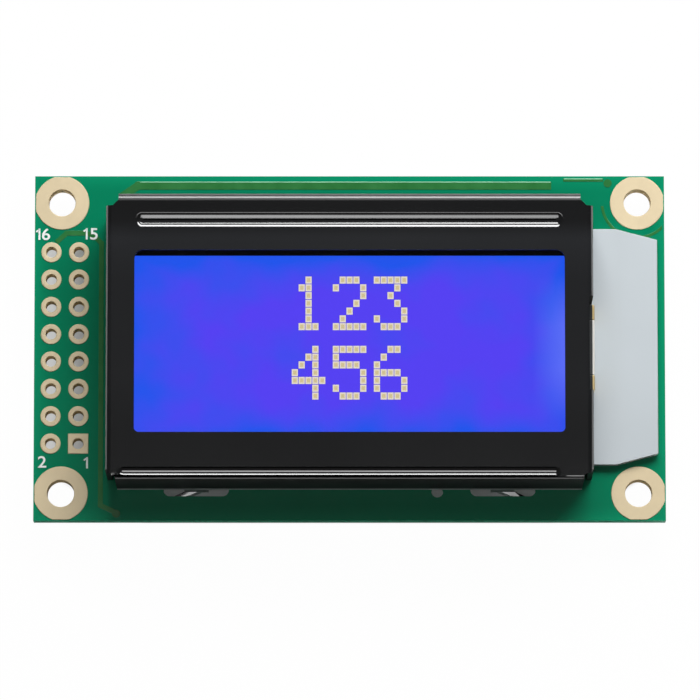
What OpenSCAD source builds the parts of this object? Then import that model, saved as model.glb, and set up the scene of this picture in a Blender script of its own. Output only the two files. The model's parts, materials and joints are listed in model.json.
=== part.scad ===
// Character display module: a backlit two-line dot-matrix glass in a pressed
// steel bezel, twisted onto a circuit board with a two-column header.
// Millimetres. Origin: middle of the four mounting holes on the board's rear
// face. +X along the rows of characters, +Y to their tops, +Z out of the face.

/* [Circuit board] */
// Width of the board
board_w = 58; // [57:0.5:62]
// Height of the board
board_h = 32; // [31.5:0.5:36]
// Thickness of the board
board_t = 1.6; // [1:0.1:2]
// Thickness of copper and plating on the board
copper_t = 0.04; // [0.03:0.01:0.06]

/* [Mounting holes] */
// Distance from a hole's centre to the two board edges beside it
hole_inset = 2.5; // [2.5:0.1:3]
// Diameter of a finished hole
hole_d = 2.5; // [2.2:0.1:2.8]
// Diameter of the bare ring round a hole
hole_ring_d = 5; // [4:0.1:5.2]
// Distance at which a ring is trimmed short of the board's edge
ring_edge_gap = 0.15; // [0.1:0.05:0.3]

/* [Header] */
// Distance between neighbouring header holes
header_pitch = 2.54; // [2:0.02:2.54]
// Distance from the board's left edge to the outer column
header_edge = 1.54; // [1.5:0.02:1.7]
// Diameter of a finished header hole
pin_hole_d = 1; // [0.9:0.05:1.1]
// Diameter of a header pad
pin_pad_d = 1.88; // [1.6:0.02:1.9]

/* [Bezel] */
// Board left bare on each side of the bezel
side_margin = 6.8; // [6.4:0.1:7.2]
// Board left bare above and below the bezel
end_margin = 2.85; // [2.7:0.05:3.2]
// Distance from the board's face to the front of the bezel
bezel_rise = 7.9; // [7:0.1:9]
// Thickness of the sheet
sheet_t = 0.5; // [0.4:0.05:0.6]
// Inside radius of the bends
bend_r = 0.1; // [0.05:0.05:0.3]
// Side length of the relief in the flanges beside an upper corner
upper_relief = 1.15; // [0.9:0.05:1.4]
// Side length of the relief in the flanges beside a lower corner
lower_relief = 0.9; // [0.8:0.05:1.2]

/* [Window] */
// Width of the bezel's face on each side of the window
window_side = 2.6; // [2.4:0.1:3]
// Height of the bezel's face over the window
window_over = 5.25; // [5:0.05:5.6]
// Height of the bezel's face under the window
window_under = 4.3; // [4:0.05:4.6]
// Radius of the window's upper corners
window_upper_r = 0.8; // [0.3:0.1:1.2]
// Radius of the window's lower corners
window_lower_r = 0.45; // [0.2:0.05:0.8]

/* [Pressed beads] */
// Distance from the bezel's sides to the ends of the upper bead's straight part
upper_bead_inset = 3.25; // [3:0.05:4]
// The same on the left of the lower bead
lower_bead_left = 1.7; // [1.6:0.1:3.6]
// The same on the right of the lower bead
lower_bead_right = 3.6; // [3:0.1:4]
// Depth of a bead
bead_depth = 0.28; // [0.2:0.02:0.3]
// Width of a bead at the front of the sheet
bead_w = 1.2; // [1:0.05:1.3]
// Offset of the upper bead from the contact strip below it
upper_bead_shift = -0.1; // [-0.2:0.05:0.2]
// Offset of the lower bead from the contact strip below it
lower_bead_shift = -0.35; // [-0.4:0.05:0.1]

/* [Twisted tabs] */
// Distance from the bezel's side to the middle of a tab
tab_inset = 8.13; // [7.5:0.01:9]
// Width of a tab's neck
neck_w = 2.2; // [1.8:0.1:2.6]
// Width of a tab's head
head_w = 5.2; // [4.4:0.1:5.4]
// Length of a head below the board
head_drop = 2; // [1.6:0.1:2.4]
// Angle that a head is twisted by
head_twist = 24; // [15:1:30]
// Length of a tab's slot in the board
slot_len = 6; // [5.6:0.1:6.4]
// Width of a tab's slot
slot_w = 1.15; // [1:0.05:1.3]

/* [Glass] */
// Thickness of each glass
glass_t = 1.1; // [0.7:0.1:1.1]
// Gap between the glass and the bezel's sides
glass_gap = 0.5; // [0.3:0.05:0.6]
// Gap between the glass and the bezel's lower flange
glass_end_gap = 0.1; // [0.05:0.01:0.15]
// Width of the ledge where the front glass overhangs the rear glass
ledge = 1.5; // [1.3:0.05:1.6]
// Thickness of a polarizer
polarizer_t = 0.2; // [0.15:0.01:0.25]
// Gap between the two glasses
cell_gap = 0.1; // [0.08:0.01:0.15]
// Dark border seen between the window's upper edge and the visible field
field_border = 0.275; // [0:0.025:0.4]
// Reach of the visible field under the window's lower edge
field_under = 0.525; // [0.3:0.025:0.8]

/* [Characters] */
// Distance between neighbouring dots along X
dot_pitch_x = 0.624; // [0.58:0.002:0.63]
// Distance between neighbouring dots along Y
dot_pitch_y = 0.716; // [0.66:0.002:0.72]
// Gap between neighbouring dots
dot_gap = 0.042; // [0.03:0.002:0.06]
// Distance between neighbouring characters
char_pitch = 3.74; // [3.6:0.02:3.8]
// Distance between the two lines of characters
line_pitch = 6.39; // [6.1:0.01:6.6]
// Height of the middle between the lines over the window's middle
lines_y = 0.51; // [0.3:0.01:0.6]

/* [Backlight] */
// Thickness of the backlight's own board
light_board_t = 0.8; // [0.6:0.1:1]
// Distance from the bezel's ends to that board's ends
light_board_inset = 2.22; // [2.2:0.02:3]
// Distance from its ear to the circuit board's edge
ear_edge_gap = 0.7; // [0.4:0.1:1.5]
// Length of the ear's straight part
ear_straight = 2.3; // [1.5:0.1:3]
// Taper of the ear at each end
ear_taper = 1; // [0.5:0.1:1.5]
// Thickness of the diffuser film
film_t = 0.3; // [0.2:0.05:0.4]
// Wall of the light guide's tray
tray_wall = 1; // [0.8:0.1:1.2]
// Floor of the light guide's tray
tray_floor = 0.7; // [0.5:0.1:0.9]
// Length of the lamp between its terminals
lamp_len = 5.1; // [4.4:0.05:5.4]
// Length of a lamp terminal
terminal_len = 1.4; // [1.2:0.05:1.8]
// Height of the lamp
lamp_h = 2.2; // [1.8:0.1:2.4]
// Reach of the lamp past the bezel's right side
lamp_reach = 0.25; // [0.1:0.05:0.4]
// Height of the lamp's middle over the board's middle
lamp_y = -0.4; // [-0.6:0.05:0.3]
// Gap between the lamp's upper end and the bezel's notch
notch_upper_gap = 0.15; // [0.1:0.05:0.5]
// Gap between the lamp's lower end and the bezel's notch
notch_lower_gap = 0.6; // [0.1:0.05:0.8]

/* [Rear parts] */
// Diameter of the controller's resin cap
blob_d = 13; // [11:0.5:14]
// Height of the resin cap
blob_h = 1.3; // [1:0.1:1.6]
// Distance of the cap's middle from the board's middle line
blob_x = 5; // [3:0.5:7]
// Length of a chip part
chip_l = 2; // [1.6:0.1:2.2]
// Width of a chip part
chip_w = 1.25; // [1:0.05:1.4]
// Height of a chip resistor
resistor_h = 0.5; // [0.4:0.05:0.6]
// Height of a chip capacitor
capacitor_h = 0.8; // [0.7:0.05:1.2]
// Distance between neighbouring chip parts
chip_pitch = 2.6; // [2.3:0.1:2.8]

/* [Hidden] */
$fn = 48;
eps = 0.01;
through = 1;

// Heights from the board's rear face, stacked on each other
bezel_top = board_t + bezel_rise;
plate_under = bezel_top - sheet_t;
glass_top = plate_under - bead_depth;
front_glass_z = glass_top - glass_t;
rear_glass_top = front_glass_z - cell_gap;
rear_glass_z = rear_glass_top - glass_t;
rear_polarizer_z = rear_glass_z - polarizer_t;
film_z = rear_polarizer_z - film_t;
light_board_z = board_t + copper_t;
light_board_top = light_board_z + light_board_t;
strip_z = board_t + copper_t;
dot_t = cell_gap * 0.3;

// Plan sizes that follow from the board and the margins on it
hole_pitch_x = board_w - 2 * hole_inset;
hole_pitch_y = board_h - 2 * hole_inset;
bezel_w = board_w - 2 * side_margin;
bezel_h = board_h - 2 * end_margin;
window_w = bezel_w - 2 * window_side;
window_h = bezel_h - window_over - window_under;
window_y = (window_under - window_over) / 2;
tab_x = bezel_w / 2 - tab_inset;
light_board_h = bezel_h - 2 * light_board_inset;
ear_reach = side_margin - ear_edge_gap;
outer_bend = bend_r + sheet_t;
bezel_in_w = bezel_w - 2 * sheet_t;
bezel_in_h = bezel_h - 2 * sheet_t;
glass_w = bezel_in_w - 2 * glass_gap;
glass_h = bezel_in_h - 2 * abs(window_y) - 2 * glass_end_gap;
rear_glass_h = glass_h - 2 * ledge;
strip_clear = 0.1;
strip_end = 1;
strip_w = ledge - 2 * strip_clear;
strip_y = glass_h / 2 - ledge / 2;
upper_bead_y = window_y + strip_y + upper_bead_shift;
lower_bead_y = window_y - strip_y + lower_bead_shift;
field_over = 0.25;
field_w = window_w + 2 * field_over;
flange_mid = bezel_h / 2 - sheet_t / 2;
slot_shift = 0.27;
slot_y = flange_mid + slot_shift;

// Header columns, counted from the board's left edge
outer_column = header_edge - board_w / 2;
inner_column = outer_column + header_pitch;
pad_gap = 0.05;
column_end = hole_inset + (hole_ring_d + pin_pad_d) / 2 + pad_gap;
header_rows = floor((board_h - 2 * column_end) / header_pitch) + 1;
function row_y(row) = (row - (header_rows - 1) / 2) * header_pitch;

// Backlight plan
tray_gap = 0.5;
tray_inset = 0.1;
tray_left = -bezel_in_w / 2 + tray_gap;
tray_h = rear_glass_h - 2 * tray_inset;
lamp_right = bezel_w / 2 + lamp_reach;
lamp_depth = 1.6;
lamp_left = lamp_right - lamp_depth;
tray_right = lamp_left;
ear_gap = 0.12;
notch_bite = 0.36;

// Small hole that shows beside the lower flange, and the vias
peg_hole_d = 1.1;
peg_inset = 0.15;
peg_x = 8.05;
peg_hole = [peg_x, -bezel_h / 2 - peg_inset];
via_d = 0.4;
via_ring_d = 0.75;
via_inset = 0.65;
via_left_inset = 0.8;
via_right_reach = 1.6;
via_left = -bezel_w / 2 + via_left_inset;
via_low = via_inset - board_h / 2;
blob_left = blob_x - blob_d / 2;
via_blob_gap = 3;
via_left_y = 8.4;
via_right_y = 6;
VIAS = [
    [via_left, via_low],
    [bezel_w / 2 + via_right_reach, board_h / 2 - via_inset],
    [blob_left - via_blob_gap, via_left_y],
    [blob_left - via_blob_gap, -via_left_y],
    [blob_x + blob_d / 2 + via_blob_gap, via_right_y],
    [blob_x + blob_d / 2 + via_blob_gap, -via_right_y]
];

// Chip parts on the rear, as [x, y, turn] of each middle
chip_column = -15.5;
upright_x = 19.5;
upright_y = 3.2;
capacitor_x = 16;
capacitor_y = 9.5;
RESISTORS = concat(
    [for (i = [-2:2]) [chip_column, i * chip_pitch, 0]],
    [[upright_x, upright_y, 90], [upright_x, -upright_y, 90]]
);
CAPACITORS = [[capacitor_x, capacitor_y, 0], [capacitor_x, -capacitor_y, 0]];
cap_len = 0.4;
jumper_w = 1.1;
jumper_h = 1.3;
jumper_gap = 0.4;
jumper_x = -5.5;
jumper_step = 2.5;
jumper_clear = 0.3;
rear_track_w = 0.3;
last_run_y = row_y(header_rows - 1) + (header_pitch + rear_track_w) / 2;
jumper_y = last_run_y + jumper_clear + jumper_h / 2;
JUMPERS = [for (sx = [-1, 1], sy = [-1, 1]) [jumper_x + sx * jumper_step, sy * jumper_y]];

// Five-by-seven dot patterns of the digits 1 to 6, upper row first
DIGITS = [
    ["..#..", ".##..", "..#..", "..#..", "..#..", "..#..", ".###."],
    [".###.", "#...#", "....#", "...#.", "..#..", ".#...", "#####"],
    ["#####", "...#.", "..#..", "...#.", "....#", "#...#", ".###."],
    ["...#.", "..##.", ".#.#.", "#..#.", "#####", "...#.", "...#."],
    ["#####", "#....", "####.", "....#", "....#", "#...#", ".###."],
    ["..##.", ".#...", "#....", "####.", "#...#", "#...#", ".###."]
];
LINES = [[0, 1, 2], [3, 4, 5]];

// ---- shapes that repeat ----

// Box given by its middle in X and Y and its lower face
module block(x, y, z, size) {
    translate([x - size[0] / 2, y - size[1] / 2, z])
        cube(size);
}

// Copper run of one width through a list of points, on height z. The disc at
// a bend is a little wider than the run, so that no side is tangent to it.
module track(points, width, z) {
    bend_d = width * 1.06;
    for (i = [0:len(points) - 2]) {
        a = points[i];
        b = points[i + 1];
        run = norm(b - a);
        translate([a[0], a[1], z])
            rotate([0, 0, atan2(b[1] - a[1], b[0] - a[0])])
                translate([0, -width / 2, 0])
                    cube([run, width, copper_t]);
    }
    for (i = [1:len(points) - 2])
        translate([points[i][0], points[i][1], z])
            cylinder(h = copper_t, d = bend_d, $fn = 24);
}

// Places what follows at the four mounting holes
module each_corner() {
    for (sx = [-1, 1], sy = [-1, 1])
        translate([sx * hole_pitch_x / 2, sy * hole_pitch_y / 2, 0])
            children();
}

// Places what follows at each header hole
module each_pin() {
    for (x = [outer_column, inner_column], row = [0:header_rows - 1])
        translate([x, row_y(row), 0])
            children();
}

// ---- circuit board ----

module circuit_board() {
    color("seagreen")
        difference() {
            block(0, 0, 0, [board_w, board_h, board_t]);
            each_corner()
                translate([0, 0, -through])
                    cylinder(h = board_t + 2 * through, d = hole_d);
            each_pin()
                translate([0, 0, -through])
                    cylinder(h = board_t + 2 * through, d = pin_hole_d);
            for (v = VIAS)
                translate([v[0], v[1], -through])
                    cylinder(h = board_t + 2 * through, d = via_d + 2 * copper_t);
            for (sx = [-1, 1], sy = [-1, 1])
                tab_slot(sx * tab_x, sy * slot_y);
            translate([peg_hole[0], peg_hole[1], -through])
                cylinder(h = board_t + 2 * through, d = peg_hole_d);
        }
}

// Routed slot with round ends
module tab_slot(x, y) {
    straight = slot_len - slot_w;
    block(x, y, -through, [straight, slot_w, board_t + 2 * through]);
    for (s = [-1, 1])
        translate([x + s * straight / 2, y, -through])
            cylinder(h = board_t + 2 * through, d = slot_w);
}

// Bare rings round the mounting holes, trimmed short of the board's edges
module mounting_hole_rings() {
    trim_w = board_w - 2 * ring_edge_gap;
    trim_h = board_h - 2 * ring_edge_gap;
    color("burlywood")
        difference() {
            intersection() {
                each_corner()
                    for (z = [-copper_t, board_t])
                        translate([0, 0, z])
                            cylinder(h = copper_t, d = hole_ring_d);
                block(0, 0, -through, [trim_w, trim_h, board_t + 2 * through]);
            }
            each_corner()
                translate([0, 0, -through])
                    cylinder(h = board_t + 2 * through, d = hole_d);
        }
}

module header_pads() {
    color("burlywood")
        for (z = [-copper_t, board_t])
            difference() {
                translate([0, 0, z])
                    pad_outlines();
                each_pin()
                    translate([0, 0, -through])
                        cylinder(h = board_t + 2 * through, d = pin_hole_d);
            }
}

// Pads of one face: pin 1, at the foot of the inner column, has a square one
module pad_outlines() {
    each_pin()
        cylinder(h = copper_t, d = pin_pad_d);
    block(inner_column, row_y(0), 0, [pin_pad_d, pin_pad_d, copper_t]);
}

// Plated wall of a hole through the board
module barrel(d) {
    difference() {
        cylinder(h = board_t, d = d + 2 * copper_t);
        translate([0, 0, -through])
            cylinder(h = board_t + 2 * through, d = d);
    }
}

module vias() {
    color("darkolivegreen")
        for (v = VIAS)
            translate([v[0], v[1], 0]) {
                barrel(via_d);
                for (z = [-copper_t, board_t])
                    translate([0, 0, z])
                        difference() {
                            cylinder(h = copper_t, d = via_ring_d);
                            translate([0, 0, -through])
                                cylinder(h = copper_t + 2 * through, d = via_d);
                        }
            }
}

// ---- tracks ----

ring_clear = 0.6;
edge_clear = 0.2;
bus_w = 0.75;
bus_y = board_h / 2 - edge_clear - bus_w * 0.9;
side_x = -(bezel_w / 2 + 0.65);
side_w = 0.45;
edge_line_w = 0.3;
ground_line_w = 0.25;
hole_x = hole_pitch_x / 2;
hole_y = hole_pitch_y / 2;

// What tracks end against: the pads, rings and vias on a face of height z
module pad_clearance(z) {
    translate([0, 0, z - eps]) {
        h = copper_t + 2 * eps;
        each_pin()
            cylinder(h = h, d = pin_pad_d);
        block(inner_column, row_y(0), 0, [pin_pad_d, pin_pad_d, h]);
        each_corner()
            cylinder(h = h, d = hole_ring_d);
        for (v = VIAS)
            translate([v[0], v[1], 0])
                cylinder(h = h, d = via_ring_d);
    }
}

module front_tracks() {
    color("olivedrab")
        difference() {
            union() {
                upper_bus();
                side_run();
                ground_line();
            }
            pad_clearance(board_t);
        }
}

// Run along the upper edge, with its end bent down beside the bezel
module upper_bus() {
    bend_x = -bezel_w / 2 + 2.7;
    bend_run = 1.6;
    track([
        [bezel_w / 2 - 3.6, bus_y],
        [bend_x, bus_y],
        [bend_x - bend_run, bus_y - bend_run * 0.7]
    ], bus_w, board_t);
    line_y = board_h / 2 - edge_clear - edge_line_w / 2;
    track([
        [bezel_w / 2 - 2.5, line_y],
        [hole_x - hole_ring_d / 2 - ring_clear, line_y]
    ], edge_line_w, board_t);
}

// From the upper outer pad over its neighbour, and down beside the bezel
module side_run() {
    turn = header_pitch * 0.29;
    pad_top = row_y(header_rows - 1) + pin_pad_d / 2;
    top_y = pad_top + side_w * 1.9;
    pad_side = outer_column + side_w;
    drop = 0.2;
    track([
        [pad_side, pad_top],
        [pad_side + pin_pad_d / 2, top_y],
        [inner_column + pin_pad_d / 3, top_y],
        [side_x - turn, top_y - drop],
        [side_x, top_y - drop - turn],
        [side_x, via_low + via_ring_d],
        [via_left - drop, via_low + drop]
    ], side_w, board_t);
}

// Edge of the ground copper, kept clear of the upper right ring
module ground_line() {
    start = 185;
    sweep = 150;
    difference() {
        translate([hole_x, hole_y, board_t])
            rotate([0, 0, start])
                rotate_extrude(angle = sweep)
                    translate([hole_ring_d / 2 + ring_clear, 0])
                        square([ground_line_w, copper_t]);
        block(hole_x, board_h / 2 + through - edge_clear, 0, [board_w, 2 * through, 2 * board_t]);
        block(board_w / 2 + through - edge_clear, 0, 0, [2 * through, board_h, 2 * board_t]);
    }
}

// Runs from the header pads that stand clear of the chip parts to the controller
module rear_tracks() {
    runs = 2 * header_rows;
    land = 0.62;
    fan_x = blob_left - 7;
    cap_gap = 0.25;
    color("olivedrab")
        difference() {
            for (i = [0:runs - 1]) {
                outer = i % 2;
                pad_y = row_y(floor(i / 2));
                pad_x = outer == 1 ? outer_column : inner_column;
                y0 = pad_y + outer * header_pitch / 2;
                y1 = (i - (runs - 1) / 2) * land;
                x0 = pad_x + pin_pad_d * 0.7;
                x1 = fan_x + abs(y1) * 0.4;
                end_x = blob_x - sqrt(pow(blob_d / 2, 2) - pow(y1, 2)) - cap_gap;
                if (chip_free(y0))
                    track([
                        [pad_x, pad_y], [x0, y0], [x1 - 1, y0], [x1 + 1.5, y1], [end_x, y1]
                    ], rear_track_w, -copper_t);
            }
            pad_clearance(-copper_t);
        }
}

// True where a run passes clear of the column of chip parts
function chip_free(y) = abs(y) > 2.5 * chip_pitch;

// Contact pads under the two strips
module strip_contact_pads() {
    count = 28;
    pad_margin = 3.5;
    pitch = (bezel_in_w - 2 * pad_margin) / count;
    color("gold")
        for (s = [-1, 1], i = [0:count - 1])
            block((i - (count - 1) / 2) * pitch, window_y + s * strip_y, board_t,
                [pitch / 2, strip_w, copper_t]);
}

// ---- bezel ----

module bezel() {
    color("#26282a")
        difference() {
            union() {
                plate();
                upper_bead(sheet_t);
                lower_bead(sheet_t);
                long_flange(1, upper_relief);
                long_flange(-1, lower_relief);
                side_flange(-1);
                side_flange(1);
                for (sx = [-1, 1], sy = [-1, 1])
                    tab(sx, sy);
            }
            window_cut();
            upper_bead(0);
            lower_bead(0);
            lamp_notch();
            ear_slot();
        }
}

// Flat part of the bezel, its corners cut diagonally between the reliefs
module plate() {
    x = bezel_w / 2 - outer_bend;
    y = bezel_h / 2 - outer_bend;
    u = upper_relief - outer_bend;
    l = lower_relief - outer_bend;
    translate([0, 0, plate_under])
        linear_extrude(height = sheet_t)
            polygon([
                [-x + l, -y], [x - l, -y], [x, -y + l], [x, y - u],
                [x - u, y], [-x + u, y], [-x, y - u], [-x, -y + l]
            ]);
}

// Section of a flange: the bend, then the straight wall down to the board
module flange_section() {
    difference() {
        intersection() {
            circle(r = outer_bend);
            square([outer_bend, outer_bend]);
        }
        circle(r = bend_r, $fn = 24);
    }
    translate([bend_r, board_t - bezel_top + outer_bend])
        square([sheet_t, bezel_rise - outer_bend]);
}

// Flange of a given length along Y, standing at +X of the bezel's middle
module flange(reach, from, to) {
    translate([reach - outer_bend, to, bezel_top - outer_bend])
        rotate([90, 0, 0])
            linear_extrude(height = to - from)
                flange_section();
}

module long_flange(side, relief) {
    half = bezel_w / 2 - relief;
    rotate([0, 0, side * 90])
        flange(bezel_h / 2, -half, half);
}

module side_flange(side) {
    top = bezel_h / 2 - upper_relief;
    bottom = bezel_h / 2 - lower_relief;
    from = side > 0 ? -bottom : -top;
    to = side > 0 ? top : bottom;
    rotate([0, 0, side > 0 ? 0 : 180])
        flange(bezel_w / 2, from, to);
}

// The beads: with grow 0 the groove, with the sheet's thickness its back
module upper_bead(grow) {
    end = bezel_w / 2 - upper_bead_inset;
    bead_pressing(-end, end, upper_bead_y, grow);
}

module lower_bead(grow) {
    left = lower_bead_left - bezel_w / 2;
    right = bezel_w / 2 - lower_bead_right;
    bead_pressing(left, right, lower_bead_y, grow);
}

// Round-ended bead between two points of a line along X
module bead_pressing(from, to, y, grow) {
    groove_r = (pow(bead_w / 2, 2) + pow(bead_depth, 2)) / (2 * bead_depth);
    axis_z = bezel_top + groove_r - bead_depth;
    r = groove_r + grow;
    intersection() {
        union() {
            translate([from, y, axis_z])
                rotate([0, 90, 0])
                    cylinder(h = to - from, r = r);
            for (end = [from, to])
                translate([end, y, axis_z])
                    sphere(r = r);
        }
        block(0, 0, plate_under - 1, [bezel_w - 2 * sheet_t,
            bezel_h - (grow > 0 ? sheet_t : 0), grow > 0 ? sheet_t + 1 : sheet_t + 2]);
    }
}

// Window: a rectangle with its own corner radius above and below
module window_cut() {
    translate([0, window_y, plate_under - through])
        linear_extrude(height = sheet_t + 2 * through)
            window_outline();
}

module window_outline() {
    w = window_w / 2;
    h = window_h / 2;
    u = window_upper_r;
    l = window_lower_r;
    difference() {
        square([window_w, window_h], center = true);
        for (s = [-1, 1]) {
            corner_waste(s * w, h, u, s, 1);
            corner_waste(s * w, -h, l, s, -1);
        }
    }
}

// What a rounded corner takes off a square one
module corner_waste(x, y, r, sx, sy) {
    translate([x - sx * r, y - sy * r])
        difference() {
            translate([sx > 0 ? 0 : -r - eps, sy > 0 ? 0 : -r - eps])
                square([r + eps, r + eps]);
            circle(r = r);
        }
}

// Notch that bares the lamp: the whole flange, and the edge of the bend
module lamp_notch() {
    wall_x = bezel_w / 2 - sheet_t - eps;
    bite_x = bezel_w / 2 - notch_bite;
    lamp_half = lamp_len / 2 + terminal_len;
    bottom = lamp_y - lamp_half - notch_lower_gap;
    notch_len = 2 * lamp_half + notch_lower_gap + notch_upper_gap;
    translate([wall_x, bottom, 0])
        cube([sheet_t + through, notch_len, bezel_top - outer_bend]);
    translate([bite_x, bottom, 0])
        cube([notch_bite + through, notch_len, bezel_top + through]);
}

// Low slot in the right flange that the backlight's board passes through
module ear_slot() {
    h = light_board_h + 2 * ear_gap;
    translate([bezel_w / 2 - 2 * sheet_t, -h / 2, 0])
        cube([3 * sheet_t, h, light_board_top + ear_gap]);
}

// Neck through the board's slot and a head turned across it behind the board
module tab(sx, sy) {
    x = sx * tab_x;
    y = sy * flange_mid;
    block(x, y, -sheet_t, [neck_w, sheet_t, board_t + sheet_t + eps]);
    translate([x, y, -head_drop])
        rotate([0, 0, sx * sy * head_twist])
            block(0, 0, 0, [head_w, sheet_t, head_drop]);
}

// ---- display glass ----

// Rounded block in plan, for film and glass cut with eased corners
module sheet_piece(w, h, z, t, r) {
    translate([0, window_y, z])
        linear_extrude(height = t)
            difference() {
                square([w, h], center = true);
                for (sx = [-1, 1], sy = [-1, 1])
                    corner_waste(sx * w / 2, sy * h / 2, r, sx, sy);
            }
}

module front_polarizer() {
    under_bezel = 0.5;
    bead_clear = 0.7;
    w = window_w + 2 * under_bezel;
    h = 2 * strip_y - bead_w - 2 * bead_clear;
    color([0.35, 0.4, 0.95, 0.35])
        sheet_piece(w, h, glass_top, polarizer_t, 0.2);
}

module front_glass() {
    color([0.8, 0.88, 0.95, 0.35])
        sheet_piece(glass_w, glass_h, front_glass_z, glass_t, 0.15);
}

module cell_seal() {
    seal_clear = 0.1;
    w = glass_w - 2 * seal_clear;
    h = rear_glass_h - 2 * seal_clear;
    color("#101018")
        difference() {
            sheet_piece(w, h, rear_glass_top, cell_gap, 0.2);
            field_block(rear_glass_top - through, cell_gap + 2 * through);
        }
}

// The visible field, as a block that the seal is cut by and the crystal fills
module field_block(z, t) {
    low = window_y - window_h / 2 - field_under;
    high = window_y + window_h / 2 - field_border;
    translate([-field_w / 2, low, z])
        cube([field_w, high - low, t]);
}

module crystal_layer() {
    color("#4a4df2")
        field_block(rear_glass_top, cell_gap - dot_t);
}

// Lit dots of two lines of three digits, against the front glass
module lit_dots() {
    color("#cdc398")
        for (line = [0:1], place = [0:2])
            translate([
                (place - 1) * char_pitch,
                window_y + lines_y + (0.5 - line) * line_pitch,
                front_glass_z - dot_t
            ])
                digit(DIGITS[LINES[line][place]]);
}

module digit(rows) {
    for (r = [0:6], c = [0:4])
        if (rows[r][c] == "#")
            block((c - 2) * dot_pitch_x, (3 - r) * dot_pitch_y, 0,
                [dot_pitch_x - dot_gap, dot_pitch_y - dot_gap, dot_t]);
}

module rear_glass() {
    color([0.8, 0.88, 0.95, 0.35])
        sheet_piece(glass_w, rear_glass_h, rear_glass_z, glass_t, 0.15);
}

module rear_polarizer() {
    inset = 0.3;
    w = glass_w - 2 * inset;
    h = rear_glass_h - 2 * inset;
    color([0.3, 0.35, 0.9, 0.5])
        sheet_piece(w, h, rear_polarizer_z, polarizer_t, 0.2);
}

// Conductive rubber between the board's pads and the front glass's ledge
module contact_strip(side) {
    strip_len = glass_w - 2 * strip_end;
    color("#3a3a3c")
        block(0, window_y + side * strip_y, strip_z,
            [strip_len, strip_w, front_glass_z - strip_z]);
}

// ---- backlight ----

tray_len = tray_right - tray_left;
tray_mid = (tray_left + tray_right) / 2;
guide_gap = 0.05;
film_inset = 0.2;

module diffuser_film() {
    color("white")
        block(tray_mid, window_y, film_z,
            [tray_len - 2 * film_inset, tray_h - 2 * film_inset, film_t]);
}

module light_guide() {
    w = tray_len - 2 * tray_wall - 2 * guide_gap;
    h = tray_h - 2 * tray_wall - 2 * guide_gap;
    z = light_board_top + tray_floor;
    color([0.9, 0.95, 1, 0.6])
        block(tray_mid, window_y, z, [w, h, film_z - z]);
}

// Open tray with a port in its right wall for the lamp
module light_guide_tray() {
    port_z = light_board_top + tray_floor;
    color("white")
        difference() {
            block(tray_mid, window_y, light_board_top,
                [tray_len, tray_h, film_z - light_board_top]);
            block(tray_mid, window_y, port_z,
                [tray_len - 2 * tray_wall, tray_h - 2 * tray_wall, film_z]);
            translate([tray_right - tray_wall - eps, lamp_y - lamp_len / 2, port_z])
                cube([tray_wall + 1, lamp_len, lamp_h - tray_floor]);
        }
}

// Board under the backlight: it leaves the bezel on the right as a tapered ear
module backlight_board() {
    right = bezel_w / 2;
    half_h = light_board_h / 2;
    inner_inset = 0.6;
    inner_half = bezel_in_h / 2 - abs(window_y) - ledge - inner_inset;
    low = window_y - inner_half;
    high = window_y + inner_half;
    shoulder = right - 2;
    full = right - 1;
    tip = right + ear_reach;
    color("#dfe4ea")
        translate([0, 0, light_board_z])
            linear_extrude(height = light_board_t)
                polygon([
                    [tray_left, low], [shoulder, low], [full, -half_h],
                    [right + ear_straight, -half_h], [tip, -half_h + ear_taper],
                    [tip, half_h - ear_taper], [right + ear_straight, half_h],
                    [full, half_h], [shoulder, high], [tray_left, high]
                ]);
}

module backlight_lamp() {
    color("ivory")
        translate([lamp_left, lamp_y - lamp_len / 2, light_board_top])
            cube([lamp_depth, lamp_len, lamp_h]);
}

// Folded metal ends of the lamp
module lamp_terminals() {
    color("khaki")
        for (s = [-1, 1])
            block((lamp_left + lamp_right) / 2, lamp_y + s * (lamp_len + terminal_len) / 2,
                light_board_top, [lamp_depth, terminal_len, lamp_h]);
}

// ---- rear of the board ----

// Low dome of resin over the controller
module controller_cap() {
    dome_r = (pow(blob_d / 2, 2) + pow(blob_h, 2)) / (2 * blob_h);
    color("#151515")
        translate([blob_x, 0, 0])
            rotate_extrude($fn = 96)
                intersection() {
                    translate([0, dome_r - blob_h])
                        circle(r = dome_r, $fn = 360);
                    translate([0, -blob_h - through])
                        square([blob_d, blob_h + through]);
                }
}

// A chip part's place: its middle, its turn, and the board's rear face as zero
module at_chip(place) {
    translate([place[0], place[1], -copper_t])
        rotate([0, 0, place[2]])
            children();
}

module chip_resistors() {
    color("#1c1c1e")
        for (p = RESISTORS)
            at_chip(p)
                block(0, 0, -resistor_h, [chip_l - 2 * cap_len, chip_w, resistor_h]);
}

module chip_capacitors() {
    color("tan")
        for (p = CAPACITORS)
            at_chip(p)
                block(0, 0, -capacitor_h, [chip_l - 2 * cap_len, chip_w, capacitor_h]);
}

module chip_end_caps() {
    color("silver") {
        for (p = RESISTORS)
            at_chip(p)
                end_caps(resistor_h);
        for (p = CAPACITORS)
            at_chip(p)
                end_caps(capacitor_h);
    }
}

module end_caps(h) {
    for (s = [-1, 1])
        block(s * (chip_l - cap_len) / 2, 0, -h, [cap_len, chip_w, h]);
}

// Wedge of solder at each end, from the pad up to the end cap
module solder_fillets() {
    color("silver") {
        for (p = RESISTORS)
            at_chip(p)
                fillets(resistor_h * fillet_share);
        for (p = CAPACITORS)
            at_chip(p)
                fillets(capacitor_h * fillet_share);
    }
}

fillet_len = 0.45;
fillet_share = 0.65;

module fillets(h) {
    for (s = [0, 180])
        rotate([0, 0, s])
            translate([chip_l / 2, chip_w / 2, 0])
                rotate([90, 0, 0])
                    linear_extrude(height = chip_w)
                        polygon([[0, 0], [0, -h], [fillet_len, 0]]);
}

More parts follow.
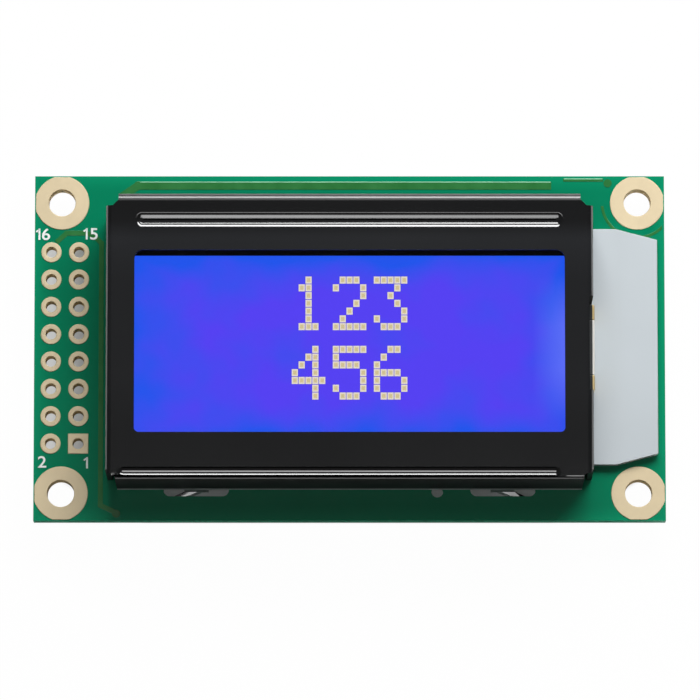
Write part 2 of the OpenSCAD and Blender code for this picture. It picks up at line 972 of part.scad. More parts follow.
module chip_pads() {
    pad_over = 0.1;
    pad_len = cap_len + fillet_len + pad_over;
    color("silver")
        for (p = concat(RESISTORS, CAPACITORS))
            at_chip(p)
                for (s = [-1, 1])
                    block(s * (chip_l / 2 - cap_len + pad_len / 2), 0, 0,
                        [pad_len, chip_w + 2 * pad_over, copper_t]);
}

// Pairs of bare pads for the supply options, open or bridged when ordered
module jumper_pads() {
    color("silver")
        for (j = JUMPERS, s = [-1, 1])
            block(j[0] + s * (jumper_w + jumper_gap) / 2, j[1], -copper_t,
                [jumper_w, jumper_h, copper_t]);
}

circuit_board();
mounting_hole_rings();
header_pads();
vias();
front_tracks();
rear_tracks();
strip_contact_pads();
bezel();
front_polarizer();
front_glass();
cell_seal();
crystal_layer();
lit_dots();
rear_glass();
rear_polarizer();
contact_strip(1);  // contact_strip_upper
contact_strip(-1);  // contact_strip_lower
diffuser_film();
light_guide();
light_guide_tray();
backlight_board();
backlight_lamp();
lamp_terminals();
controller_cap();
chip_resistors();
chip_capacitors();
chip_end_caps();
solder_fillets();
chip_pads();
jumper_pads();
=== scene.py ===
"""Character display module: the finishes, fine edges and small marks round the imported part.

Everything is in metres, in the part's own frame: +X along the rows of characters,
+Y to their tops and +Z out of the display's face.
"""

import json
import math

import bmesh
import bpy
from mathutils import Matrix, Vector

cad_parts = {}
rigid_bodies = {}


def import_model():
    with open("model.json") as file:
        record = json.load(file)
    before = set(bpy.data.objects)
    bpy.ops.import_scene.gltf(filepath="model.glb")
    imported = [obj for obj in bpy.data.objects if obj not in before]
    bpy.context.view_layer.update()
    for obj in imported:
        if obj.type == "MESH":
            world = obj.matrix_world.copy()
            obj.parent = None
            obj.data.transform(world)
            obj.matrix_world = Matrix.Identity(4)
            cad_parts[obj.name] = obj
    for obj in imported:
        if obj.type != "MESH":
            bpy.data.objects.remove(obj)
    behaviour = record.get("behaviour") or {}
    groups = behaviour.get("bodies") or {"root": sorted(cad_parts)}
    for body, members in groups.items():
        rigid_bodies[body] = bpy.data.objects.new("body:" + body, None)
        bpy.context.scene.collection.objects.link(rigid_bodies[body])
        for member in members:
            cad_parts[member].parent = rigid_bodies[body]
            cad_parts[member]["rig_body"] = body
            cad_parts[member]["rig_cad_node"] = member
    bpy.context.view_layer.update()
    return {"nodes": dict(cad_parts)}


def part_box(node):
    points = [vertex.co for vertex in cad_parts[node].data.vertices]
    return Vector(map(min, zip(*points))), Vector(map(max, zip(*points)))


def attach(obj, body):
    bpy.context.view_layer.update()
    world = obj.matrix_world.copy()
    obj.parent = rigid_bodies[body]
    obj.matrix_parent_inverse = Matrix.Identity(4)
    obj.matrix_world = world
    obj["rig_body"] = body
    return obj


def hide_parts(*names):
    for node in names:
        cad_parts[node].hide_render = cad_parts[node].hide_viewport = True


bl_info = {
    "name": "Character Display Module",
    "version": (1, 0, 0),
    "blender": (4, 5, 0),
    "location": "3D View > Sidebar > Display Module",
    "description": "Dresses a backlit character display with its finishes and fine detail",
    "category": "Object",
}

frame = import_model()
NODES = frame["nodes"]

MM = 0.001
BOARD_LOW, BOARD_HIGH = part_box("circuit_board")
BEZEL_LOW, BEZEL_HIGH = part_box("bezel")
BEZEL_WALL = max(v.co.y for v in NODES["bezel"].data.vertices if v.co.z > BEZEL_HIGH.z - 2.0 * MM)
RING_LOW, RING_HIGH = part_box("mounting_hole_rings")
PADS_LOW, PADS_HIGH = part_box("header_pads")

INK = 0.03 * MM
DIGIT_STRETCH = 1.12
DARK_WALL_BAND = (0.02, 0.024, 0.024, 1.0)
# Painted shade for the edges of the glass and films, in place of the dark seal that refraction shows there.
PAINTED_EDGE_SHADE = (0.004, 0.006, 0.008, 1.0)
PALE_END = (0.12, 0.16, 0.93, 1.0)

# place, width and height, power in watts
WINDOW_LAMP = ((0.052, 0.17, 0.175), (0.23, 0.10), 0.84)
FILL_LAMP = ((-0.10, -0.10, 0.80), (0.30, 0.20), 0.21)
OVERHEAD_BOX = ((0.0, -0.19, 0.80), (0.60, 0.46), 2.4)
FLOOR_GREY = (0.90, 0.90, 0.90, 1.0)
FLOOR_GLOW = 0.985
WORLD_FILL = 0.13
WORLD_MIRRORED = 0.07

CAMERA_REACH = 0.7
CAMERA_TILT = math.radians(8.3)
CAMERA_AIM = Vector((0.04 * MM, -0.195 * MM, BOARD_HIGH.z))
CAMERA_LENS = 391.5
CAMERA_SENSOR = 36.0


# ---- sizes and colours that a user changes ----


class DisplaySettings(bpy.types.PropertyGroup):
    """Edges and rims of the module's own pieces"""

    edge_round: bpy.props.FloatProperty(
        name="Sheet edge", description="Rounding of the bezel's cut edges",
        default=0.06 * MM, min=0.0, unit="LENGTH", subtype="DISTANCE")
    bead_width: bpy.props.FloatProperty(
        name="Bead width", description="Width of the upper bead between its soft lips",
        default=1.2 * MM, min=0.0, unit="LENGTH", subtype="DISTANCE")
    bead_depth: bpy.props.FloatProperty(
        name="Bead depth", description="Depth of the upper bead",
        default=0.28 * MM, min=0.0, unit="LENGTH", subtype="DISTANCE")
    rim_height: bpy.props.FloatProperty(
        name="Rim height", description="Height of the plated rims over the lacquer",
        default=0.07 * MM, min=0.0, unit="LENGTH", subtype="DISTANCE")
    hole_radius: bpy.props.FloatProperty(
        name="Mounting hole", description="Radius of a mounting hole",
        default=1.25 * MM, min=0.0, unit="LENGTH", subtype="DISTANCE")
    ring_radius: bpy.props.FloatProperty(
        name="Mounting ring", description="Radius of the bare ring round a mounting hole",
        default=2.5 * MM, min=0.0, unit="LENGTH", subtype="DISTANCE")
    hole_inset: bpy.props.FloatProperty(
        name="Hole inset", description="Distance of a mounting hole from the board's edges",
        default=2.5 * MM, min=0.0, unit="LENGTH", subtype="DISTANCE")
    pin_hole_radius: bpy.props.FloatProperty(
        name="Header hole", description="Radius of a header hole",
        default=0.5 * MM, min=0.0, unit="LENGTH", subtype="DISTANCE")
    pin_pad_radius: bpy.props.FloatProperty(
        name="Header pad", description="Radius of a header pad",
        default=0.94 * MM, min=0.0, unit="LENGTH", subtype="DISTANCE")
    pin_pitch: bpy.props.FloatProperty(
        name="Header pitch", description="Distance between neighbouring header holes",
        default=2.54 * MM, min=0.0, unit="LENGTH", subtype="DISTANCE")
    number_height: bpy.props.FloatProperty(
        name="Number height", description="Height of the printed pin numbers",
        default=1.05 * MM, min=0.0, unit="LENGTH", subtype="DISTANCE")
    number_gap: bpy.props.FloatProperty(
        name="Number gap", description="Gap between a printed number and the pads beside it",
        default=0.22 * MM, min=0.0, unit="LENGTH", subtype="DISTANCE")


class FinishSettings(bpy.types.PropertyGroup):
    """Colours of the module's finishes"""

    lacquer: bpy.props.FloatVectorProperty(
        name="Board lacquer", description="Green lacquer over the bare board",
        default=(0.0008, 0.205, 0.098, 1.0), size=4, min=0.0, max=1.0, subtype="COLOR")
    plating: bpy.props.FloatVectorProperty(
        name="Plating", description="Pale gold of the rings and pads",
        default=(0.67, 0.55, 0.345, 1.0), size=4, min=0.0, max=1.0, subtype="COLOR")
    bezel_coat: bpy.props.FloatVectorProperty(
        name="Bezel coat", description="Black coat of the pressed bezel",
        default=(0.0042, 0.0045, 0.0052, 1.0), size=4, min=0.0, max=1.0, subtype="COLOR")
    field: bpy.props.FloatVectorProperty(
        name="Lit field", description="Blue of the lit field at its middle",
        default=(0.088, 0.050, 0.87, 1.0), size=4, min=0.0, max=1.0, subtype="COLOR")
    field_edge: bpy.props.FloatVectorProperty(
        name="Lit field's edge", description="Blue of the lit field towards its edges",
        default=(0.015, 0.088, 0.82, 1.0), size=4, min=0.0, max=1.0, subtype="COLOR")
    dots: bpy.props.FloatVectorProperty(
        name="Lit dots", description="Khaki in the middle of a lit dot",
        default=(0.62, 0.52, 0.29, 1.0), size=4, min=0.0, max=1.0, subtype="COLOR")
    light_board: bpy.props.FloatVectorProperty(
        name="Backlight board", description="Pale grey of the backlight's board",
        default=(0.52, 0.57, 0.60, 1.0), size=4, min=0.0, max=1.0, subtype="COLOR")


def sizes():
    return bpy.context.scene.module_sizes


def finishes():
    return bpy.context.scene.module_finishes


# ---- helpers for shapes ----


def clear_selection():
    if bpy.context.object and bpy.context.object.mode != "OBJECT":
        bpy.ops.object.mode_set(mode="OBJECT")
    bpy.ops.object.select_all(action="DESELECT")


def only(obj):
    clear_selection()
    obj.select_set(True)
    bpy.context.view_layer.objects.active = obj


def place_in_mesh(obj):
    only(obj)
    bpy.ops.object.transform_apply(location=True, rotation=True, scale=True)


def finish_piece(obj, name, nodes=()):
    obj.name = name
    obj.data.name = name
    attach(obj, "root")
    if nodes:
        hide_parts(*nodes)
    return obj


def copy_of(obj):
    only(obj)
    bpy.ops.object.duplicate(linked=False)
    return bpy.context.object


def join_all(pieces):
    clear_selection()
    for piece in pieces:
        piece.select_set(True)
    bpy.context.view_layer.objects.active = pieces[0]
    bpy.ops.object.join()
    return bpy.context.object


def select_edges(obj, wanted):
    """Selects the edges of an object in edit mode that a test of the edge accepts."""
    bpy.ops.mesh.select_mode(type="EDGE")
    bpy.ops.mesh.select_all(action="DESELECT")
    mesh = bmesh.from_edit_mesh(obj.data)
    mesh.edges.ensure_lookup_table()
    for edge in mesh.edges:
        edge.select = wanted(edge)
    mesh.select_flush_mode()
    bmesh.update_edit_mesh(obj.data)


def select_faces(obj, wanted):
    """Selects the faces of an object in edit mode that a test of the face accepts."""
    bpy.ops.mesh.select_mode(type="FACE")
    bpy.ops.mesh.select_all(action="DESELECT")
    mesh = bmesh.from_edit_mesh(obj.data)
    for face in mesh.faces:
        face.select = wanted(face)
    mesh.select_flush_mode()
    bmesh.update_edit_mesh(obj.data)


def clean_copy(node):
    """A copy of a rigid node with its loose triangles merged into whole faces."""
    only(NODES[node])
    bpy.ops.object.duplicate(linked=False)
    piece = bpy.context.object
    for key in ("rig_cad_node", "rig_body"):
        if key in piece:
            del piece[key]
    piece.parent = None
    only(piece)
    bpy.ops.object.mode_set(mode="EDIT")
    bpy.ops.mesh.select_all(action="SELECT")
    bpy.ops.mesh.remove_doubles(threshold=0.0004 * MM)
    bpy.ops.mesh.dissolve_limited(angle_limit=math.radians(0.6))
    bpy.ops.mesh.select_all(action="SELECT")
    bpy.ops.mesh.normals_make_consistent(inside=False)
    bpy.ops.object.mode_set(mode="OBJECT")
    return piece


def ease(piece, width, angle=30.0, segments=2):
    """Rounds the sharp edges and keeps the flat faces flat in the shading."""
    add_bevel(piece, width, angle, segments)
    smooth(piece, 32.0)
    return piece


def eased_copy(node, name, width, angle=30.0, segments=2):
    return finish_piece(ease(clean_copy(node), width, angle, segments), name, [node])


def add_bevel(obj, width, angle, segments):
    only(obj)
    bpy.ops.object.modifier_add(type="BEVEL")
    bevel = obj.modifiers[-1]
    bevel.width = width
    bevel.segments = segments
    bevel.limit_method = "ANGLE"
    bevel.angle_limit = math.radians(angle)
    bevel.use_clamp_overlap = True
    bpy.ops.object.modifier_apply(modifier=bevel.name)


def smooth(obj, angle):
    only(obj)
    bpy.ops.object.shade_smooth_by_angle(angle=math.radians(angle))
    bpy.ops.object.modifier_add(type="WEIGHTED_NORMAL")
    weighted = obj.modifiers[-1]
    weighted.keep_sharp = True
    weighted.weight = 90
    bpy.ops.object.modifier_apply(modifier=weighted.name)


# ---- helpers for materials ----


class Shade:
    """A procedural material built node by node round one shader."""

    def __init__(self, name):
        self.material = bpy.data.materials.new(name)
        self.material.use_nodes = True
        self.tree = self.material.node_tree
        self.shader = self.tree.nodes["Principled BSDF"]
        self.coords = self.tree.nodes.new("ShaderNodeTexCoord")

    def node(self, kind, **values):
        made = self.tree.nodes.new(kind)
        for key, value in values.items():
            setattr(made, key, value)
        return made

    def link(self, a, b):
        self.tree.links.new(a, b)

    def set(self, **values):
        for key, value in values.items():
            self.shader.inputs[key.replace("_", " ")].default_value = value

    def noise(self, scale, detail=3.0, roughness=0.5, vector=None):
        made = self.node("ShaderNodeTexNoise")
        made.inputs["Scale"].default_value = scale
        made.inputs["Detail"].default_value = detail
        made.inputs["Roughness"].default_value = roughness
        self.link(vector or self.coords.outputs["Object"], made.inputs["Vector"])
        return made.outputs["Fac"]

    def ramp(self, source, stops):
        made = self.node("ShaderNodeValToRGB")
        points = made.color_ramp.elements
        while len(points) < len(stops):
            points.new(0.5)
        for point, (place, colour) in zip(points, stops):
            point.position = place
            point.color = colour
        self.link(source, made.inputs["Fac"])
        return made.outputs["Color"]

    def spread(self, source, low, high, start=0.0, end=1.0):
        made = self.node("ShaderNodeMapRange")
        made.inputs["From Min"].default_value = start
        made.inputs["From Max"].default_value = end
        made.inputs["To Min"].default_value = low
        made.inputs["To Max"].default_value = high
        self.link(source, made.inputs["Value"])
        return made.outputs["Result"]

    def math(self, operation, a, b=None):
        made = self.node("ShaderNodeMath", operation=operation)
        for socket, value in ((made.inputs[0], a), (made.inputs[1], b)):
            if value is None:
                continue
            if isinstance(value, (int, float)):
                socket.default_value = value
            else:
                self.link(value, socket)
        return made.outputs["Value"]

    def axis(self, letter):
        split = self.node("ShaderNodeSeparateXYZ")
        self.link(self.coords.outputs["Object"], split.inputs["Vector"])
        return split.outputs[letter]

    def mix(self, factor, a, b, blend="MIX"):
        made = self.node("ShaderNodeMix", data_type="RGBA", blend_type=blend)
        sockets = [s for s in made.inputs if s.enabled]
        for socket, value in zip(sockets, (factor, a, b)):
            if isinstance(value, (int, float, tuple, list)):
                socket.default_value = value
            else:
                self.link(value, socket)
        return [s for s in made.outputs if s.enabled][0]

    def bump(self, height, strength, distance):
        made = self.node("ShaderNodeBump")
        made.inputs["Strength"].default_value = strength
        made.inputs["Distance"].default_value = distance
        self.link(height, made.inputs["Height"])
        self.link(made.outputs["Normal"], self.shader.inputs["Normal"])

    def colour(self, socket):
        self.link(socket, self.shader.inputs["Base Color"])

    def roughness(self, source, low, high):
        self.link(self.spread(source, low, high), self.shader.inputs["Roughness"])


def scaled(colour, factor):
    return tuple(min(1.0, c * factor) for c in colour[:3]) + (1.0,)


def speckled(name, colour, contrast, scale, rough, metallic=0.0, bump=0.0, gloss=0.5, detail=4.0):
    """A plain finish with a fine grain in its colour, its gloss and its surface."""
    shade = Shade(name)
    grain = shade.noise(scale, detail)
    shade.colour(shade.ramp(grain, [(0.3, scaled(colour, 1.0 - contrast)), (0.7, scaled(colour, 1.0 + contrast))]))
    shade.roughness(grain, rough * 0.85, rough * 1.15)
    shade.set(Metallic=metallic, Specular_IOR_Level=gloss)
    if bump:
        shade.bump(grain, bump, 0.01 * MM)
    return shade.material


def dress(node, material):
    obj = NODES[node] if isinstance(node, str) else node
    obj.data.materials.clear()
    obj.data.materials.append(material)


# ---- materials of the module ----


def lacquer_material():
    """Green lacquer over translucent laminate, with painted light along the board's edges for the glow of light
    scattered through the laminate.
    """
    shade = Shade("green_lacquer")
    base = finishes().lacquer
    cloud = shade.noise(90.0, 3.0)
    weave = shade.noise(5200.0, 2.0, 0.6)
    tint = shade.ramp(cloud, [(0.3, scaled(base, 0.94)), (0.7, scaled(base, 1.06))])
    side = shade.math("SUBTRACT", BOARD_HIGH.x, shade.math("ABSOLUTE", shade.axis("X")))
    end = shade.math("SUBTRACT", BOARD_HIGH.y, shade.math("ABSOLUTE", shade.axis("Y")))
    # Painted light: the colour grows paler within 1.6 mm of the board's edges, standing in for light scattered
    # through the laminate.
    near = shade.spread(shade.math("MINIMUM", side, end), 1.0, 0.0, 0.0, 1.6 * MM)
    glow = (base[0] * 3.0, base[1] * 1.35, base[2] * 1.35, 1.0)
    shade.colour(shade.mix(shade.math("POWER", near, 1.6), tint, glow))
    shade.roughness(weave, 0.14, 0.19)
    shade.set(Specular_IOR_Level=0.15)
    shade.bump(weave, 0.2, 0.004 * MM)
    return shade.material


def masked_copper_material():
    """Copper seen through the lacquer, olive and a little paler."""
    shade = Shade("copper_under_lacquer")
    grain = shade.noise(700.0, 3.0)
    shade.colour(shade.ramp(grain, [(0.3, (0.020, 0.165, 0.036, 1.0)), (0.7, (0.030, 0.200, 0.050, 1.0))]))
    shade.roughness(grain, 0.12, 0.18)
    shade.set(Specular_IOR_Level=0.4, Coat_Weight=1.0, Coat_Roughness=0.06)
    shade.bump(grain, 0.2, 0.006 * MM)
    return shade.material


def plating_material(name):
    """Satin gold plating, matte and pale, with faint rolling marks."""
    shade = Shade(name)
    base = finishes().plating
    marks = shade.noise(420.0, 6.0, 0.65)
    shade.colour(shade.ramp(marks, [(0.3, scaled(base, 0.95)), (0.7, scaled(base, 1.04))]))
    shade.set(Metallic=0.1, Specular_IOR_Level=0.5)
    shade.roughness(marks, 0.42, 0.54)
    shade.bump(marks, 0.15, 0.008 * MM)
    return shade.material


def bezel_side_material():
    """The coat where it is thin and dull, on the walls, with a painted pale reflection of the board along the lower
    wall's foot.
    """
    shade = Shade("dull_black_side")
    base = finishes().bezel_coat
    wear = shade.noise(420.0, 4.0)
    # Painted reflection: a pale grey band at the foot of the lower wall, where the wall mirrors the board.
    low = shade.spread(shade.axis("Z"), 1.0, 0.0, BOARD_HIGH.z + 0.6 * MM, BOARD_HIGH.z + 1.0 * MM)
    near = shade.spread(shade.axis("Y"), 1.0, 0.0, -BEZEL_WALL + 0.1 * MM, -BEZEL_WALL + 0.3 * MM)
    painted_foot_reflection = shade.math("MULTIPLY", low, near)
    reflected_board_grey = (0.50, 0.53, 0.53, 1.0)
    coat = shade.ramp(wear, [(0.3, scaled(base, 1.2)), (0.7, scaled(base, 1.8))])
    shade.colour(shade.mix(painted_foot_reflection, coat, reflected_board_grey))
    shade.roughness(wear, 0.45, 0.60)
    shade.set(Specular_IOR_Level=0.08)
    shade.bump(wear, 0.15, 0.005 * MM)
    return shade.material


def bezel_material():
    """Black baked coat on pressed steel, with a painted sheen that is palest above the window, and dull along the
    upper bend.
    """
    shade = Shade("black_coat")
    base = finishes().bezel_coat
    peel = shade.noise(900.0, 2.0)
    wear = shade.noise(60.0, 4.0)
    height = shade.spread(shade.axis("Y"), 0.0, 1.0, -BEZEL_WALL, BEZEL_WALL)
    # Painted sheen: the coat is made up to 3.6 times paler above the window and darker towards the lower wall,
    # standing in for the lamps' reflection.
    painted_sheen = shade.ramp(height, [(place, scaled(base, factor)) for place, factor in (
        (0.10, 0.8), (0.20, 1.0), (0.35, 2.0), (0.70, 2.4), (0.84, 3.6), (0.90, 1.0), (0.97, 0.8))])
    mottle = shade.ramp(wear, [(0.3, (0.85, 0.85, 0.85, 1.0)), (0.7, (1.0, 1.0, 1.0, 1.0))])
    shade.colour(shade.mix(1.0, painted_sheen, mottle, "MULTIPLY"))
    bend = shade.spread(shade.axis("Y"), 0.0, 0.3, BEZEL_WALL - 0.75 * MM, BEZEL_WALL - 0.6 * MM)
    gloss = shade.math("ADD", shade.spread(wear, 0.10, 0.14), bend)
    shade.link(gloss, shade.shader.inputs["Roughness"])
    shade.set(Specular_IOR_Level=0.9, Coat_Weight=0.6, Coat_Roughness=0.08)
    shade.bump(peel, 0.1, 0.005 * MM)
    return shade.material


def field_material():
    """Blue field lit from the side: violet at the middle, bluer to the edges and pale at its right end."""
    shade = Shade("lit_blue_field")
    inner = finishes().field
    outer = finishes().field_edge
    low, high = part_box("crystal_layer")
    half_w = (high.x - low.x) / 2
    half_h = (high.y - low.y) / 2
    mid_x = (high.x + low.x) / 2
    mid_y = (high.y + low.y) / 2
    along = shade.math("DIVIDE", shade.math("SUBTRACT", shade.axis("X"), mid_x), half_w)
    x = shade.math("ABSOLUTE", along)
    y = shade.math("ABSOLUTE", shade.math("DIVIDE", shade.math("SUBTRACT", shade.axis("Y"), mid_y), half_h))
    edge = shade.math("MAXIMUM", shade.math("POWER", x, 5.0), shade.math("POWER", y, 4.0))
    cloud = shade.noise(170.0, 2.0)
    patch = shade.spread(cloud, -0.25, 0.42, 0.32, 0.68)
    factor = shade.math("ADD", edge, patch)
    clamped = shade.node("ShaderNodeClamp")
    shade.link(factor, clamped.inputs["Value"])
    glow = shade.mix(clamped.outputs["Result"], tuple(inner), tuple(outer))
    right = shade.spread(along, 0.0, 0.8, 0.84, 0.98)
    level = shade.spread(y, 1.0, 0.0, 0.25, 0.8)
    glow = shade.mix(shade.math("MULTIPLY", right, level), glow, PALE_END)
    shade.set(Base_Color=(0.0, 0.0, 0.0, 1.0), Roughness=0.6, Specular_IOR_Level=0.0, Emission_Strength=1.12)
    shade.link(glow, shade.shader.inputs["Emission Color"])
    return shade.material


def dot_material():
    """A lit dot: khaki at its middle, cream towards its rim, and a painted shadow at its outline."""
    shade = Shade("lit_dot")
    base = finishes().dots
    split = shade.node("ShaderNodeSeparateXYZ")
    shade.link(shade.coords.outputs["UV"], split.inputs["Vector"])
    u = shade.math("ABSOLUTE", shade.math("SUBTRACT", split.outputs["X"], 0.5))
    v = shade.math("ABSOLUTE", shade.math("SUBTRACT", split.outputs["Y"], 0.5))
    rim = shade.math("MAXIMUM", u, v)
    # The last stop paints a dark outline round each dot, a painted shadow of the dot.
    glow = shade.ramp(rim, [
        (0.22, tuple(base)),
        (0.40, (0.80, 0.74, 0.66, 1.0)),
        (0.465, (0.74, 0.68, 0.60, 1.0)),
        (0.49, (0.20, 0.15, 0.20, 1.0)),
    ])
    shade.set(Base_Color=(0.0, 0.0, 0.0, 1.0), Roughness=0.6, Specular_IOR_Level=0.0, Emission_Strength=1.12)
    shade.link(glow, shade.shader.inputs["Emission Color"])
    return shade.material


def film_material(name, tint, cover, rough, node):
    """A clear sheet that covers little of what lies behind it, with a faint haze, and opaque painted shade along its
    edges where a real sheet would bend the dark seal into view.
    """
    shade = Shade(name)
    low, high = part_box(node)
    from_left = shade.math("SUBTRACT", shade.axis("X"), low.x)
    from_right = shade.math("SUBTRACT", high.x, shade.axis("X"))
    from_foot = shade.math("SUBTRACT", shade.axis("Y"), low.y)
    from_head = shade.math("SUBTRACT", high.y, shade.axis("Y"))
    nearest = shade.math("MINIMUM", shade.math("MINIMUM", from_left, from_right),
                         shade.math("MINIMUM", from_foot, from_head))
    haze = shade.noise(300.0, 2.0)
    clear = shade.ramp(haze, [(0.3, scaled(tint, 0.97)), (0.7, tint)])
    # Painted shade: the sheet turns dark and opaque within 0.05 mm of its edges.
    shade.colour(shade.mix(shade.spread(nearest, 1.0, 0.0, 0.01 * MM, 0.05 * MM), clear, PAINTED_EDGE_SHADE))
    shade.roughness(haze, rough * 0.8, rough * 1.2)
    shade.link(shade.spread(nearest, 1.0, cover, 0.01 * MM, 0.05 * MM), shade.shader.inputs["Alpha"])
    return shade.material


def light_board_material():
    """Milky laminate with its glass weave just showing, with painted light beside the bezel that lifts the bezel's
    shadow.
    """
    shade = Shade("milky_laminate")
    base = finishes().light_board
    weave = shade.noise(2600.0, 3.0)
    cloud = shade.noise(120.0, 2.0)
    body = shade.ramp(cloud, [(0.35, scaled(base, 0.98)), (0.65, scaled(base, 1.02))])
    # Painted light: 10 per cent paler beside the bezel's wall, where the bezel's shadow falls.
    inner = shade.spread(shade.axis("X"), 1.0, 0.0, BEZEL_HIGH.x, BEZEL_HIGH.x + 2.6 * MM)
    shade.colour(shade.mix(inner, body, scaled(base, 1.10)))
    shade.roughness(weave, 0.35, 0.45)
    shade.bump(weave, 0.15, 0.004 * MM)
    return shade.material


def lamp_material(name, colour, metallic):
    """The lamp's outer face, darker in a thin band where it meets the bezel's wall."""
    shade = Shade(name)
    grain = shade.noise(900.0, 3.0)
    bright = shade.ramp(grain, [(0.3, scaled(colour, 0.97)), (0.7, scaled(colour, 1.03))])
    # Darker in a band from 0.02 to 0.08 mm out from the bezel's wall.
    edge = shade.spread(shade.axis("X"), 1.0, 0.0, BEZEL_HIGH.x + 0.02 * MM, BEZEL_HIGH.x + 0.08 * MM)
    shade.colour(shade.mix(edge, bright, DARK_WALL_BAND))
    shade.roughness(grain, 0.3, 0.4)
    shade.set(Metallic=metallic)
    return shade.material


# ---- operators ----


class DISPLAY_OT_board(bpy.types.Operator):
    """Finish of the circuit board and its tracks, and the lacquer over its vias"""

    bl_idname = "display.board"
    bl_label = "Circuit board"

    def execute(self, context):
        board = eased_copy("circuit_board", "board_laminate", 0.05 * MM, 40.0, 1)
        lacquer = lacquer_material()
        core = speckled("laminate_edge", (0.008, 0.40, 0.21, 1.0), 0.12, 3000.0, 0.5, bump=0.3)
        dress(board, lacquer)
        board.data.materials.append(core)
        for face in board.data.polygons:
            if abs(face.normal.z) < 0.3:
                face.material_index = 1
        copper = masked_copper_material()
        tracks = eased_copy("front_tracks", "upper_tracks", 0.038 * MM, 40.0, 2)
        dress(tracks, copper)
        track_edge_highlights(tracks)
        dress("rear_tracks", copper)
        dress("vias", copper)
        via_tents(copper)
        return {"FINISHED"}


def via_tents(copper):
    """Lacquer closes each via on both faces of the board with a flat disc."""
    low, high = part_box("vias")
    spots = []
    for corner in NODES["vias"].data.vertices:
        for spot in spots:
            if math.hypot(corner.co.x - spot[0].x, corner.co.y - spot[0].y) < 1.2 * MM:
                spot.append(corner.co)
                break
        else:
            spots.append([corner.co])
    discs = []
    for spot in spots:
        x = (min(c.x for c in spot) + max(c.x for c in spot)) / 2
        y = (min(c.y for c in spot) + max(c.y for c in spot)) / 2
        radius = (max(c.x for c in spot) - min(c.x for c in spot)) / 2
        disc = upright("disc", radius * 0.98, -0.01 * MM, 0.01 * MM)
        for level in (high.z - 0.002 * MM, low.z + 0.002 * MM):
            discs.append(moved_copy(disc, (x, y, level)))
        bpy.data.objects.remove(disc)
    tents = join_all(discs)
    dress(tents, copper)
    finish_piece(tents, "via_tents")


def track_edge_highlights(tracks):
    """A painted highlight: a thin pale strip along the upper edges of the long level tracks, where light glints off
    the lacquer's step over the copper.
    """
    top = max(v.co.z for v in tracks.data.vertices)
    runs = set()
    for face in tracks.data.polygons:
        if not (face.normal.y > 0.3 and face.normal.z > 0.3):
            continue
        corners = [tracks.data.vertices[v].co for v in face.vertices]
        left, right = min(c.x for c in corners), max(c.x for c in corners)
        crest = [c.y for c in corners if c.z > top - 0.002 * MM]
        if right - left > 3.0 * MM and crest:
            runs.add((round(left, 6), round(right, 6), round(min(crest), 6)))
    made = []
    for left, right, edge in sorted(runs):
        clear_selection()
        place = ((left + right) / 2, edge - 0.03 * MM, top - 0.004 * MM)
        bpy.ops.mesh.primitive_cube_add(size=1.0, location=place)
        highlight_strip = bpy.context.object
        highlight_strip.scale = (right - left - 0.1 * MM, 0.085 * MM, 0.03 * MM)
        place_in_mesh(highlight_strip)
        made.append(highlight_strip)
    if not made:
        raise RuntimeError("no level track was found")
    highlight_strips = join_all(made)
    ease(highlight_strips, 0.01 * MM, 40.0, 1)
    # Painted highlight: pale green strips standing in for the glint on the tracks' upper edges.
    dress(highlight_strips, speckled("painted_track_highlight", (0.30, 0.66, 0.42, 1.0), 0.12, 900.0, 0.3))
    finish_piece(highlight_strips, "track_highlight_strips")


class DISPLAY_OT_rings(bpy.types.Operator):
    """Plated rings round the mounting holes, each with a soft rim and a plated wall"""

    bl_idname = "display.rings"
    bl_label = "Mounting rings"

    def execute(self, context):
        size = sizes()
        plating = plating_material("ring_plating")
        inset = size.hole_inset
        reach = RING_HIGH.x - BOARD_HIGH.x + inset
        ring = plated_hole("ring_model", size.hole_radius, size.ring_radius, size.rim_height, trim=reach)
        made = []
        for turn, x, y in ((0, 1, 1), (1, -1, 1), (2, -1, -1), (3, 1, -1)):
            place = (x * (BOARD_HIGH.x - inset), y * (BOARD_HIGH.y - inset), 0.0)
            made.append(moved_copy(ring, place, turn * math.pi / 2))
        bpy.data.objects.remove(ring)
        for number, one in enumerate(made, 1):
            smooth(one, 40.0)
            dress(one, plating)
            finish_piece(one, f"mounting_ring_{number}", ["mounting_hole_rings"])
        return {"FINISHED"}


class DISPLAY_OT_header(bpy.types.Operator):
    """Sixteen plated header holes, the first with a square pad"""

    bl_idname = "display.header"
    bl_label = "Header pads"

    def execute(self, context):
        size = sizes()
        plating = plating_material("pad_plating")
        radius = size.pin_pad_radius
        left = PADS_LOW.x + radius
        low = PADS_LOW.y + radius
        rows = round((PADS_HIGH.y - PADS_LOW.y - 2 * radius) / size.pin_pitch) + 1
        round_pad = plated_hole("round_pad", size.pin_hole_radius, radius, size.rim_height)
        square_pad = plated_hole("square_pad", size.pin_hole_radius, radius, size.rim_height, True)
        made = []
        for column in range(2):
            for row in range(rows):
                first = column == 1 and row == 0
                place = (left + column * size.pin_pitch, low + row * size.pin_pitch, 0.0)
                made.append(moved_copy(square_pad if first else round_pad, place))
        bpy.data.objects.remove(round_pad)
        bpy.data.objects.remove(square_pad)
        pads = join_all(made)
        smooth(pads, 40.0)
        dress(pads, plating)
        finish_piece(pads, "header_hole_pads", ["header_pads"])
        return {"FINISHED"}


